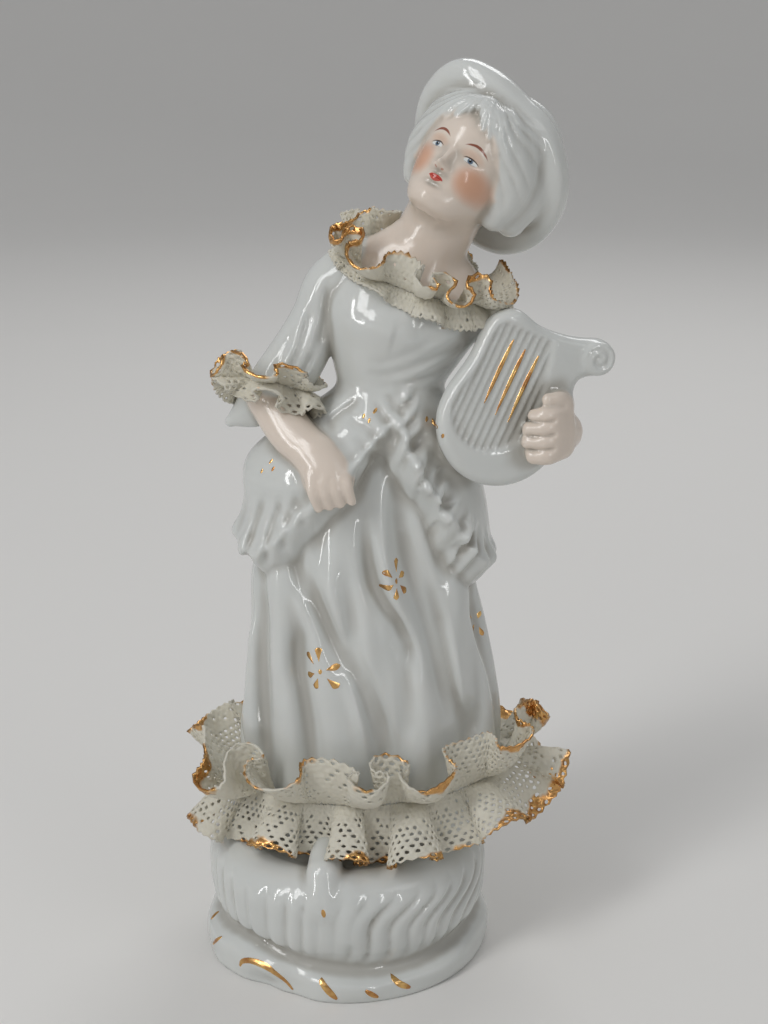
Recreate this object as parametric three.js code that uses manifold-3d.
// A glazed porcelain figurine of a lady with a lyre, on a ribbed round base, with frills of porcelain lace.
// Millimetres, +Z up, the front towards -Y, the origin at the middle of the underside.
import * as THREE from "three";
import { mergeVertices } from "three/addons/utils/BufferGeometryUtils.js";
import Module from "manifold-3d";

const wasm = await Module();
wasm.setup();

// Driving dimensions, in millimetres.
const figureHeight = 172; // from the top of the base to the top of the hat
const base = { width: 66, depth: 66, height: 28, flange: 7, groove: 3.2, shoulder: 6, ribs: 24, rib: 1.7 };
const carved = { notch: 2.2, roll: 1.2 }; // the scroll on the base's flange
const lace = { thickness: 0.9, hem: 14, neck: 6.2, cuff: 7.5 }; // each width is one wing, from gather to edge
const seatGap = 0.3; // between a frill and the body that carries it
const lyre = { thickness: 5.4, bevel: 1.3, strings: 8, pitch: 2.1, lean: 25, turn: 14 };

// The figure's free forms are set in parts, 172 to its height, from the middle of the base's top.
const part = figureHeight / 172;
const inFigure = new THREE.Matrix4().makeTranslation(0, 0, base.height).scale(new THREE.Vector3(part, part, part));

// The skirt, overskirt and bodice: height, middle x, middle y, half width and half depth.
const skirtRows = [
  [-3, 5, 2.5, 27, 17.5],
  [5, 5.5, 2, 30, 20.3],
  [22, 5.5, 2, 30.5, 20.5],
  [32, 5.7, 2, 29.5, 19.8],
  [49, 4.9, 1.5, 27, 18.5],
  [62, 3.6, 1, 25, 17],
  [77, 4.5, 1, 20.5, 15],
  [90, 7.5, 0.5, 14.5, 11.5],
  [101, 10, 0, 10, 8],
];
const overskirtRows = [
  [60, 4.6, 1.5, 28.6, 20.5],
  [70, 4.4, 1.2, 27.8, 19.5],
  [78, 4.4, 1, 26.8, 18.5],
  [88, 3.6, 0.3, 25, 17.5],
  [96, 6.6, 0, 19.2, 14],
  [102, 9.2, 0, 13, 10.4],
  [106, 10.2, 0, 10, 8],
];
const bodiceRows = [
  [99, 9.9, 0, 10.4, 8.2],
  [104, 9.9, -0.2, 11.3, 8.6],
  [112, 11.2, -1, 14.4, 9.8],
  [119, 13, -1.6, 16.6, 11],
  [125, 15.2, -0.6, 16.6, 9.6],
  [130, 16.2, 0.6, 14, 8],
  [134, 17, 1, 9.6, 7],
  [137, 17.6, 0.8, 6.5, 5.6],
];
// Skirt folds: angle at the hem and at the waist, in degrees from the front towards +X, depth and half width in degrees.
const skirtFolds = [
  [33, 17, 2.6, 8],
  [11, 4, 1.7, 6],
  [7, -38, 2.2, 6],
  [-24, -52, 1.6, 8],
  [-52, -72, 1.8, 9],
  [58, 44, 1.6, 9],
];
const backFolds = { count: 9, from: 84, to: 282, depth: 1.7, width: 9, twist: -14 };
// The overskirt's hem: angle round the figure and height. It opens in front and is caught up on the left.
const overskirtHem = [
  [-180, 66],
  [-90, 71],
  [-52, 68.5],
  [-30, 74.5],
  [-10, 82],
  [12, 97.5],
  [28, 88.5],
  [42, 75],
  [62, 64],
  [90, 64],
  [180, 66],
];
const overskirtRuffle = { waves: 20, depth: 1.3, band: 5.5, edge: 1.6 };

// The head's height runs from chin to crown, and its other sizes are shares of that.
const head = { x: 26, y: -1.4, z: 150.4, height: 26.5 };
// Height from the chin: half width, reach forward and reach back.
const headRows = [
  [0, 0.1, 0.3, -0.1],
  [0.035, 0.19, 0.39, 0.02],
  [0.1, 0.25, 0.42, 0.14],
  [0.2, 0.305, 0.415, 0.26],
  [0.33, 0.35, 0.42, 0.36],
  [0.46, 0.375, 0.42, 0.42],
  [0.58, 0.385, 0.435, 0.46],
  [0.7, 0.38, 0.43, 0.47],
  [0.82, 0.33, 0.37, 0.43],
  [0.92, 0.23, 0.26, 0.32],
  [0.98, 0.11, 0.13, 0.17],
];
// The face's features: place across and up from the chin, half width, half height and how far each stands out.
const features = [
  [0, 0.365, 0.05, 0.05, 0.1], // tip of the nose
  [0, 0.45, 0.036, 0.07, 0.05], // bridge
  [0.165, 0.49, 0.085, 0.045, -0.035], // eye sockets
  [-0.165, 0.49, 0.085, 0.045, -0.035],
  [0.165, 0.485, 0.05, 0.022, 0.022], // eyes
  [-0.165, 0.485, 0.05, 0.022, 0.022],
  [0.2, 0.35, 0.1, 0.1, 0.02], // cheeks
  [-0.2, 0.35, 0.1, 0.1, 0.02],
  [0, 0.27, 0.065, 0.016, 0.03], // upper lip
  [0, 0.235, 0.055, 0.016, 0.032], // lower lip
  [0, 0.185, 0.08, 0.025, -0.02], // below the lips
  [0, 0.09, 0.1, 0.07, 0.03], // chin
];

// The hat sits behind and beside the head's middle.
const hat = { x: head.x + 4, y: head.y + 5.4, z: head.z + 0.4, brim: 2.2, bowl: 5, crown: 11, crownDepth: 15 };
// The brim: angle round the hat's middle, from the top towards the left of the picture, and its reach.
const hatEdge = [
  [-180, 21.4],
  [-150, 20.8],
  [-120, 19.8],
  [-90, 18.4],
  [-60, 17.6],
  [-36, 17.4],
  [-10, 20.2],
  [10, 22.3],
  [35, 21.2],
  [62, 19.8],
  [90, 19.1],
  [120, 19],
  [150, 20.5],
  [180, 21.4],
];

const glaze = new THREE.MeshStandardMaterial({ color: 0xdfe3e1, roughness: 0.12, metalness: 0 });
const bisque = new THREE.MeshStandardMaterial({ color: 0xd8d6c9, roughness: 0.45, metalness: 0 });

const radians = THREE.MathUtils.degToRad;

// Every column of a table at a value of its first column, on a smooth curve through the rows.
function rowAt(rows, key) {
  const last = rows.length - 1;
  let i = 0;
  while (i < last - 1 && key > rows[i + 1][0]) i++;
  const span = rows[i + 1][0] - rows[i][0];
  const t = THREE.MathUtils.clamp((key - rows[i][0]) / span, 0, 1);
  const slope = (k, column) => {
    const before = rows[Math.max(k - 1, 0)];
    const after = rows[Math.min(k + 1, last)];
    return (after[column] - before[column]) / (after[0] - before[0]);
  };
  return rows[i].map((value, column) => {
    const rise = rows[i + 1][column] - value;
    const a = slope(i, column) * span - rise;
    const b = rise - slope(i + 1, column) * span;
    return value + rise * t + t * (1 - t) * (a * (1 - t) + b * t);
  });
}

// The shortest way from one angle to another, in degrees.
const turnBetween = (a, b) => ((((a - b) % 360) + 540) % 360) - 180;

// A closed surface through rings of points, with a fan over each end.
function loft(rings) {
  const sides = rings[0].length;
  const middle = (ring) =>
    ring.reduce((sum, point) => sum.add(point), new THREE.Vector3()).divideScalar(sides);
  const points = [...rings.flat(), middle(rings[0]), middle(rings.at(-1))];
  const firstMiddle = points.length - 2;
  const lastRing = (rings.length - 1) * sides;
  const faces = [];
  for (let side = 0; side < sides; side++) {
    const next = (side + 1) % sides;
    for (let row = 0; row < lastRing; row += sides) {
      faces.push(row + side, row + next, row + sides + next);
      faces.push(row + side, row + sides + next, row + sides + side);
    }
    faces.push(firstMiddle, next, side);
    faces.push(firstMiddle + 1, lastRing + side, lastRing + next);
  }
  return closedGeometry(points, faces);
}

// A closed surface through rings of points that meets itself again, as a frill does.
function loopLoft(rings) {
  const sides = rings[0].length;
  const faces = [];
  rings.forEach((ring, row) => {
    const here = row * sides;
    const there = ((row + 1) % rings.length) * sides;
    for (let side = 0; side < sides; side++) {
      const next = (side + 1) % sides;
      faces.push(here + side, here + next, there + next);
      faces.push(here + side, there + next, there + side);
    }
  });
  return closedGeometry(rings.flat(), faces);
}

// A geometry from points and triangles, turned so that its faces point out.
function closedGeometry(points, faces) {
  let volume = 0;
  const cross = new THREE.Vector3();
  for (let i = 0; i < faces.length; i += 3) {
    const [a, b, c] = faces.slice(i, i + 3).map((k) => points[k]);
    volume += a.dot(cross.crossVectors(b, c));
  }
  const index = volume < 0 ? faces.toReversed() : faces;
  return new THREE.BufferGeometry().setFromPoints(points).setIndex(index);
}

// A tube through [x, y, z, radius] rows. flat squeezes its section along the second vector of each frame.
function limb(rows, { steps = 8, sides = 10, flat = 1, ends = sides > 6 ? [0.5, 0.86] : [0.66] } = {}) {
  const line = new THREE.CatmullRomCurve3(rows.map(([x, y, z]) => new THREE.Vector3(x, y, z)));
  const radii = rows.map((row, i) => [i / (rows.length - 1), row[3]]);
  const rings = [];
  const ring = (t, scale, shift) => {
    const along = line.getTangent(t);
    const across = new THREE.Vector3(0, 1, 0).cross(along).normalize();
    const out = along.clone().cross(across);
    const radius = rowAt(radii, t)[1];
    const centre = line.getPoint(t).addScaledVector(along, shift * radius);
    return Array.from({ length: sides }, (_, i) => {
      const angle = (i / sides) * 2 * Math.PI;
      return centre
        .clone()
        .addScaledVector(across, Math.cos(angle) * radius * scale)
        .addScaledVector(out, Math.sin(angle) * radius * scale * flat);
    });
  };
  ends.forEach((scale) => rings.push(ring(0, scale, -Math.sqrt(1 - scale ** 2))));
  for (let i = 0; i <= steps; i++) rings.push(ring(i / steps, 1, 0));
  ends.toReversed().forEach((scale) => rings.push(ring(1, scale, Math.sqrt(1 - scale ** 2))));
  return loft(rings);
}

// The same rows with every radius greater by so much.
const thicker = (rows, grow) => rows.map(([x, y, z, radius]) => [x, y, z, radius + grow]);

// A manifold solid of a closed geometry, moved by a matrix.
function solid(geometry, matrix = inFigure) {
  const moved = geometry.clone().applyMatrix4(matrix);
  for (const name of Object.keys(moved.attributes)) if (name !== "position") moved.deleteAttribute(name);
  const merged = mergeVertices(moved, 1e-4);
  const corners = merged.index.array;
  const triVerts = [];
  for (let i = 0; i < corners.length; i += 3) {
    const [a, b, c] = corners.slice(i, i + 3);
    if (a !== b && b !== c && c !== a) triVerts.push(a, b, c);
  }
  return new wasm.Manifold(
    new wasm.Mesh({
      numProp: 3,
      vertProperties: merged.attributes.position.array,
      triVerts: new Uint32Array(triVerts),
    }),
  );
}

const join = (solids) => solids.reduce((whole, piece) => whole.add(piece));

function meshOf(name, manifold, material) {
  const { vertProperties, triVerts } = manifold.getMesh();
  const geometry = new THREE.BufferGeometry()
    .setAttribute("position", new THREE.BufferAttribute(vertProperties, 3))
    .setIndex(new THREE.BufferAttribute(triVerts, 1));
  geometry.computeVertexNormals();
  const mesh = new THREE.Mesh(geometry, material);
  mesh.name = name;
  return mesh;
}

// A groove's depth at an angle, for a groove that lies at another angle.
const groove = (angle, at, depth, width) => depth * Math.exp(-((turnBetween(angle, at) / width) ** 2));

// How far the skirt's folds draw it in, at an angle and a height.
function skirtFold(angle, z) {
  const top = skirtRows.at(-1)[0];
  const t = THREE.MathUtils.clamp(z / top, 0, 1);
  const fade = Math.min(1, (1 - t) * 2.2);
  let depth = 0;
  for (const [hem, waist, deep, width] of skirtFolds) {
    depth += groove(angle, THREE.MathUtils.lerp(hem, waist, t), deep, width);
  }
  for (let i = 0; i < backFolds.count; i++) {
    const at = THREE.MathUtils.lerp(backFolds.from, backFolds.to, i / (backFolds.count - 1));
    depth += groove(angle, at + backFolds.twist * t, backFolds.depth, backFolds.width);
  }
  return depth * fade;
}

// A point of a draped form at an angle from the front and a height, set out by so much.
function drapePoint(rows, angle, z, out = 0) {
  const [, x, y, halfWidth, halfDepth] = rowAt(rows, z);
  const turn = radians(angle);
  return new THREE.Vector3(
    x + (halfWidth + out) * Math.sin(turn),
    y - (halfDepth + out) * Math.cos(turn),
    z,
  );
}

const angles = (count) => Array.from({ length: count }, (_, i) => (i * 360) / count);

function skirt(grow = 0) {
  const levels = [-3, 8, 19, 30, 42, 54, 66, 79, 92, 101];
  return loft(
    levels.map((z) => angles(46).map((angle) => drapePoint(skirtRows, angle, z, grow - skirtFold(angle, z)))),
  );
}

// The overskirt: a thick flounce that hangs from the waist, with a ruffled edge.
function overskirt(grow = 0) {
  const { waves, depth, band, edge } = overskirtRuffle;
  const top = overskirtRows.at(-1)[0];
  const rise = [0, 0.13, 0.34, 0.64, 1];
  const ringAt = (share, out, lift) =>
    angles(40).map((angle) => {
      const signed = turnBetween(angle, 0);
      const hem = rowAt(overskirtHem, signed)[1] + lift;
      const z = THREE.MathUtils.lerp(hem, top, share);
      const near = Math.exp(-(((z - hem) / band) ** 2));
      const wave = Math.cos(radians(angle * waves)) * depth + 0.6 * depth;
      return drapePoint(overskirtRows, angle, z, out + near * wave + grow);
    });
  return loft([
    ringAt(0.1, -6, 0),
    ringAt(0.03, -edge * 1.6, -grow),
    ringAt(0, -edge, -grow),
    ...rise.map((share) => ringAt(share, 0, share === 0 ? 0.5 : 0)),
  ]);
}

// The bodice leans towards the lady's left as it rises.
function bodicePoint(angle, z, grow = 0) {
  const [waist] = bodiceRows[0];
  const [, x] = rowAt(bodiceRows, z);
  const lean = radians(THREE.MathUtils.clamp((z - waist) * 0.55, 0, 17));
  const point = drapePoint(bodiceRows, angle, z, grow);
  const side = point.x - x;
  return point.set(x + side * Math.cos(lean), point.y, z - side * Math.sin(lean));
}

function bodice(grow = 0) {
  const levels = [99, 105, 111, 117, 122, 127, 132, 137];
  return loft(levels.map((z) => angles(18).map((angle) => bodicePoint(angle, z, grow))));
}

// The head's own axes: its face looks up and to the left of the picture, and its crown leans right.
const headAxes = (() => {
  const face = new THREE.Vector3(-0.32, -0.86, 0.4).normalize();
  const side = new THREE.Vector3(0.45, 0, 0.893).cross(face).normalize();
  const up = face.clone().cross(side);
  return new THREE.Matrix4()
    .makeTranslation(head.x, head.y, head.z)
    .multiply(new THREE.Matrix4().makeBasis(side, face.clone().negate(), up))
    .multiply(new THREE.Matrix4().makeTranslation(0, 0, -head.height / 2));
})();

// A point in the head's own frame, in shares of its height from below the chin.
const onHead = (x, y, z) => new THREE.Vector3(x, y, z).multiplyScalar(head.height).applyMatrix4(headAxes);

// The head is a loft up from the chin, with more points across the face than round the back.
function headForm() {
  const round = [0, 5, 10, 15, 21, 28, 37, 50, 72, 110, 180];
  const turns = [...round.slice(1, -1).map((angle) => -angle).toReversed(), ...round];
  const levels = [0, 0.035, 0.08, 0.13, 0.18, 0.215, 0.24, 0.265, 0.3, 0.335, 0.37, 0.41, 0.45];
  levels.push(0.49, 0.53, 0.58, 0.66, 0.78, 0.94);
  return loft(
    levels.map((level) => {
      const [, halfWidth, forward, back] = rowAt(headRows, level);
      const middle = (back - forward) / 2;
      const halfDepth = (forward + back) / 2;
      return turns.map((angle) => {
        const turn = radians(angle);
        const across = halfWidth * Math.sin(turn);
        const front = Math.max(0, Math.cos(turn));
        let out = 0;
        for (const [x, z, wide, high, depth] of features) {
          out += depth * Math.exp(-(((across - x) / wide) ** 2) - ((level - z) / high) ** 2);
        }
        return onHead(across, middle - halfDepth * Math.cos(turn) - out * front, level);
      });
    }),
  );
}

// The hair: a cap over the head behind the face, with locks that part above the forehead.
function hairForms() {
  const cap = new THREE.SphereGeometry(1, 14, 8)
    .rotateX(Math.PI / 2)
    .scale(0.45, 0.44, 0.48)
    .translate(0, 0.13, 0.57)
    .scale(head.height, head.height, head.height)
    .applyMatrix4(headAxes);
  const forms = [cap];
  for (const side of [-1, 1]) {
    const lock = [
      [0.03, -0.36, 0.84, 0.05],
      [0.19, -0.34, 0.8, 0.075],
      [0.33, -0.2, 0.62, 0.075],
      [0.37, -0.08, 0.4, 0.07],
      [0.33, 0.04, 0.22, 0.05],
    ].map(([x, y, z, r]) => [...onHead(side * x, y, z).toArray(), r * head.height]);
    forms.push(limb(lock, { steps: 6, sides: 6 }));
  }
  return forms;
}

// The hat: a shallow bowl that opens towards the face, and a rounded crown behind.
function hatForm() {
  const open = new THREE.Vector3(-0.601, -0.752, -0.271).normalize();
  const left = open.clone().cross(new THREE.Vector3(0, 0, 1)).normalize();
  const high = left.clone().cross(open);
  const { brim, bowl, crown, crownDepth } = hat;
  const middle = new THREE.Vector3(hat.x, hat.y, hat.z);
  // Share of the brim's reach, fixed reach, and place along the way it opens.
  const profile = [
    [0, 4, -bowl],
    [0.35, 2, -bowl * 0.8],
    [0.8, 0, -bowl * 0.3],
    [0.96, 0, 0.2],
    [1, 0, -brim * 0.4],
    [0.98, 0, -brim],
    [0.74, 0, -bowl - brim * 0.5],
    [0, crown, -bowl - brim * 1.4],
    [0, crown * 0.98, -crownDepth * 0.66],
    [0, crown * 0.78, -crownDepth * 0.88],
    [0, crown * 0.4, -crownDepth],
  ];
  return loft(
    profile.map(([share, fixed, along]) =>
      angles(24).map((angle) => {
        const reach = share * rowAt(hatEdge, turnBetween(angle, 0))[1] + fixed;
        const turn = radians(angle);
        return middle
          .clone()
          .addScaledVector(open, along)
          .addScaledVector(left, reach * Math.sin(turn) - fixed * 0.08)
          .addScaledVector(high, reach * Math.cos(turn));
      }),
    ),
  );
}

const rightArm = [
  [4, 1.5, 128.8, 7],
  [-2.4, 1.2, 125.2, 6],
  [-6, 0.4, 118.6, 5.2],
  [-9.8, -0.8, 111.6, 5.4],
  [-14.4, -2.2, 104.6, 5.8],
];
const rightForearm = [
  [-15.8, -3.4, 101.8, 4.3],
  [-11.2, -9, 95.6, 4],
  [-5.4, -13.6, 91.4, 3.8],
  [-2.8, -15.8, 87.8, 3.8],
];
const leftArm = [
  [27, 2, 120.5, 5.6],
  [33.5, 4.5, 114, 5],
  [38.5, 6, 106, 4.6],
  [41, 4, 99, 4.2],
  [46, -1, 95.5, 3.8],
];
const neckRows = [
  [15.5, 1.5, 124, 10.5],
  [16.6, 1, 129.5, 8.9],
  [18.4, 0.5, 134.5, 8],
  [head.x - 4, head.y + 1.4, head.z - 8.4, 7.8],
];
const shoeRows = [
  [-3.5, -12, 1.6, 4.2],
  [-4.2, -22, 1.4, 4],
  [-4.6, -26.5, 1, 3],
];
const sleeveEndRows = [
  [-15, -1.5, 103, 5],
  [-20, 0, 98.6, 4.4],
  [-24.8, 0.8, 95.6, 1.3],
];

const arm = (grow = 0) => limb(thicker(rightArm, grow), { steps: 7, sides: 10 });
const forearm = (grow = 0) => limb(thicker(rightForearm, grow), { steps: 4, sides: 10 });
const backArm = (grow = 0) => limb(thicker(leftArm, grow), { steps: 6, sides: 8 });
const neck = (grow = 0) => limb(thicker(neckRows, grow), { steps: 4, sides: 12 });
const shoe = (grow = 0) => limb(thicker(shoeRows, grow), { steps: 3, sides: 8, flat: 0.7 });
const sleeveEnd = (grow = 0) => limb(thicker(sleeveEndRows, grow), { steps: 4, sides: 8, flat: 0.75 });

// The right hand lies on the overskirt with its fingers together, and the left one grips the lyre's edge.
const rightHand = () => [
  limb([[-3.8, -15.4, 89, 3.8], [-2.6, -16.8, 86, 4.8], [-2, -17, 83.4, 4.4]], { steps: 3, sides: 8, flat: 0.62 }),
  ...[0, 1, 2, 3].map((finger) => {
    const x = -5.7 + finger * 2.4;
    return limb(
      [[x + 0.1, -18.3, 85.4, 1.3], [x, -18.8, 82.6, 1.35], [x + 0.6, -17.8, 79.8, 1.1]],
      { steps: 2, sides: 6 },
    );
  }),
];
const leftHand = () => [
  limb([[46, -2, 94, 3.6], [46.4, -7, 95.4, 4.6], [45, -10, 96, 4]], { steps: 3, sides: 8 }),
  ...[0, 1, 2, 3].map((finger) => {
    const z = 101.6 - finger * 3;
    return limb(
      [[46.4, -11.6, z, 1.7], [42.6, -14.8, z - 0.5, 1.6], [38.4, -14.4, z - 1, 1.3]],
      { steps: 2, sides: 6 },
    );
  }),
];

// The lyre's outline in its own frame: a round bowl, two horns and a bar that ends in a scroll.
const bowl = { x: 2, y: -4, radius: 14 };
const scroll = { x: 15.3, y: 16.3, radius: 3.7 };

function lyreOutline() {
  const outline = [];
  const arc = ({ x, y, radius }, from, to, step) => {
    for (let angle = from; angle <= to; angle += step) {
      const turn = radians(angle);
      outline.push([x + radius * Math.cos(turn), y + radius * Math.sin(turn)]);
    }
  };
  arc(bowl, 172, 372, 25);
  outline.push([15, 4], [13.6, 10]);
  arc(scroll, -60, 105, 41);
  outline.push([8, 17.4], [0, 16.4], [-8, 18.4], [-11, 15], [-9.6, 6]);
  const corners = outline.map(([x, y]) => new THREE.Vector2(x, y));
  const shape = new THREE.Shape();
  shape.moveTo(corners[0].x, corners[0].y);
  shape.splineThru([...corners.slice(1), corners[0]]);
  shape.closePath();
  return shape;
}

// The lyre stands beside the bodice, turned a little and leaning with the lady.
const lyrePlace = new THREE.Matrix4()
  .multiply(inFigure)
  .multiply(new THREE.Matrix4().makeTranslation(33, -10.5, 103))
  .multiply(new THREE.Matrix4().makeRotationZ(radians(lyre.turn)))
  .multiply(new THREE.Matrix4().makeRotationX(Math.PI / 2))
  .multiply(new THREE.Matrix4().makeRotationZ(-radians(lyre.lean)));

function lyrePlate(grow = 0) {
  const { thickness, bevel } = lyre;
  const plate = new THREE.ExtrudeGeometry(lyreOutline(), {
    depth: thickness + 2 * grow - 2 * bevel,
    bevelThickness: bevel,
    bevelSize: bevel,
    bevelOffset: grow - bevel,
    bevelSegments: 1,
    curveSegments: 1,
    steps: 1,
  }).translate(0, 0, bevel - grow - thickness / 2);
  return solid(plate, lyrePlace);
}

// The strings stand between grooves that follow the bowl's round bottom.
function lyreForm() {
  const { thickness, strings, pitch } = lyre;
  const knob = new THREE.CylinderGeometry(scroll.radius * 0.7, scroll.radius, thickness * 1.25, 10)
    .rotateX(Math.PI / 2)
    .translate(scroll.x, scroll.y, 0);
  let body = lyrePlate().add(solid(knob, lyrePlace));
  for (let gap = 0; gap <= strings; gap++) {
    const x = bowl.x + (gap - strings / 2) * pitch;
    const low = bowl.y - Math.sqrt(Math.max(0, (bowl.radius - 2.6) ** 2 - (x - bowl.x) ** 2));
    const high = 13.6;
    const slot = new THREE.BoxGeometry(pitch * 0.55, high - low, 1.6).translate(x, (low + high) / 2, thickness / 2);
    body = body.subtract(solid(slot, lyrePlace));
  }
  return body;
}

// The base: a flange with a carved scroll, a groove, and a ribbed drum with a rounded top.
function baseForm(grow = 0) {
  const { width, depth, height, flange, groove: cut, shoulder, ribs, rib } = base;
  const ringAt = (z, inset, ribShare, lobeShare) =>
    angles(ribs * 2).map((angle) => {
      const turn = radians(angle);
      const flute = ribShare * rib * (Math.abs(Math.sin((turn * ribs) / 2)) - 1);
      const scroll = lobeShare * (groove(angle, -36, carved.notch, 9) - groove(angle, -58, carved.roll, 9));
      const out = flute - inset - scroll + grow;
      return new THREE.Vector3((width / 2 + out) * Math.sin(turn), -(depth / 2 + out) * Math.cos(turn), z);
    });
  return loft([
    ringAt(0, flange * 0.086, 0, 1),
    ringAt(flange * 0.8, 0, 0, 1),
    ringAt(flange, flange * 0.17, 0, 0.6),
    ringAt(flange + cut * 0.5, cut, 0.3, 0),
    ringAt(flange + cut * 1.25, cut * 0.47, 0.8, 0),
    ringAt(height * 0.66, rib * 0.12, 1, 0),
    ringAt(height * 0.9, shoulder * 0.27, 0.8, 0),
    ringAt(height + grow, shoulder, 0, 0),
  ]);
}

function figure() {
  const forms = [skirt(), overskirt(), bodice(), shoe(), neck(), arm(), forearm(), backArm(), sleeveEnd()];
  forms.push(headForm(), hatForm(), ...hairForms(), ...rightHand(), ...leftHand());
  return join([solid(baseForm(), new THREE.Matrix4()), ...forms.map((form) => solid(form)), lyreForm()]);
}

// A strip of lace gathered along its middle and set round a closed line, so that two ruffled wings stand out.
// at(share) gives the point of the line, the way out and the way up. wings gives each wing's slope and width.
function frill(at, { stations, waves, ripple, upper, lower }) {
  const half = lace.thickness / 2;
  const rings = [];
  for (let i = 0; i < stations; i++) {
    const { point, out, up, fullness = 1 } = at(i / stations);
    const phase = (i / stations) * waves * 2 * Math.PI;
    const edge = ({ slope, width }, side, thick) => {
      const tilt = radians(slope);
      const wave = Math.sin(phase + side * 0.8) * ripple + thick;
      const reach = width * fullness;
      return point
        .clone()
        .addScaledVector(out, half + seatGap + Math.cos(tilt) * reach + Math.sin(tilt) * wave)
        .addScaledVector(up, side * (Math.sin(tilt) * reach - Math.cos(tilt) * wave));
    };
    rings.push([
      edge(upper, 1, half),
      point.clone().addScaledVector(out, seatGap + lace.thickness * 2),
      edge(lower, -1, half),
      edge(lower, -1, -half),
      point.clone().addScaledVector(out, seatGap),
      edge(upper, 1, -half),
    ]);
  }
  return loopLoft(rings);
}

const carve = (strip, bodies) => bodies.reduce((rest, body) => rest.subtract(body), solid(strip, new THREE.Matrix4()));

// The line round the skirt that carries the hem's lace: angle and height, higher at the lady's left.
const hemLine = [
  [-180, 10],
  [-90, 12],
  [0, 13.2],
  [50, 14.8],
  [92, 16.8],
  [135, 12.4],
  [180, 10],
];

function hemLace() {
  const at = (share) => {
    const angle = share * 360;
    const height = (a) => rowAt(hemLine, turnBetween(a, 0))[1];
    const place = (a) => drapePoint(skirtRows, a, height(a)).applyMatrix4(inFigure);
    const along = place(angle + 1).sub(place(angle - 1)).normalize();
    const out = along.clone().cross(new THREE.Vector3(0, 0, 1)).normalize();
    const turn = radians(angle);
    const fullness = 0.93 + 0.14 * Math.max(0, Math.sin(turn)) + 0.07 * Math.cos(turn);
    return { point: place(angle), out, up: out.clone().cross(along).normalize(), fullness };
  };
  const wings = { upper: { slope: 50, width: lace.hem }, lower: { slope: 63, width: lace.hem } };
  const strip = frill(at, { stations: 80, waves: 20, ripple: 2.7, ...wings });
  return carve(strip, [solid(shoe(seatGap / part)), solid(baseForm(seatGap), new THREE.Matrix4())]);
}

// A neckline: where a tilted plane through a point cuts a draped form.
function neckline(angle, middle, up) {
  let [low, high] = [110, 137];
  for (let i = 0; i < 24; i++) {
    const z = (low + high) / 2;
    const above = bodicePoint(angle, z).sub(middle).dot(up) > 0;
    if (above) high = z;
    else low = z;
  }
  return bodicePoint(angle, (low + high) / 2);
}

function neckLace() {
  const up = new THREE.Vector3(0.27, -0.3, 0.91).normalize();
  const middle = new THREE.Vector3(17.2, 0.5, 128.4);
  const below = middle.clone().addScaledVector(up, -1);
  const at = (share) => {
    const angle = share * 360;
    const place = (a) => neckline(a, middle, up).applyMatrix4(inFigure);
    const along = place(angle + 3).sub(place(angle - 3)).normalize();
    const lower = new THREE.Vector3().subVectors(neckline(angle, below, up).applyMatrix4(inFigure), place(angle));
    const out = lower.cross(along).normalize();
    return { point: place(angle), out, up: out.clone().cross(along).normalize() };
  };
  const wings = { upper: { slope: 42, width: lace.neck }, lower: { slope: 46, width: lace.neck } };
  const strip = frill(at, { stations: 40, waves: 10, ripple: 1.7, ...wings });
  return carve(strip, [
    solid(arm(seatGap / part)),
    solid(backArm(seatGap / part)),
    solid(bodice(seatGap / part)),
    solid(neck(seatGap / part)),
    lyrePlate(seatGap / part),
  ]);
}

function cuffLace() {
  const up = new THREE.Vector3(0.2, 0.25, 0.95).normalize();
  const side = new THREE.Vector3(0, 1, 0).cross(up).normalize();
  const front = side.clone().cross(up).normalize();
  const at = (share) => {
    const turn = share * 2 * Math.PI;
    const out = side.clone().multiplyScalar(Math.sin(turn)).addScaledVector(front, Math.cos(turn));
    const point = new THREE.Vector3(-15.2, -2.6, 104.4).addScaledVector(out, 5.9).applyMatrix4(inFigure);
    return { point, out, up };
  };
  const wings = { upper: { slope: 36, width: lace.cuff }, lower: { slope: 18, width: lace.cuff } };
  const strip = frill(at, { stations: 32, waves: 8, ripple: 1.6, ...wings });
  return carve(strip, [
    solid(arm(seatGap / part)),
    solid(forearm(seatGap / part)),
    solid(sleeveEnd(seatGap / part)),
    solid(bodice(seatGap / part)),
    solid(overskirt(seatGap / part)),
  ]);
}

const model = new THREE.Group();
model.add(meshOf("figure", figure(), glaze));
model.add(meshOf("hem_lace", hemLace(), bisque));
model.add(meshOf("neck_lace", neckLace(), bisque));
model.add(meshOf("cuff_lace", cuffLace(), bisque));

export default model;
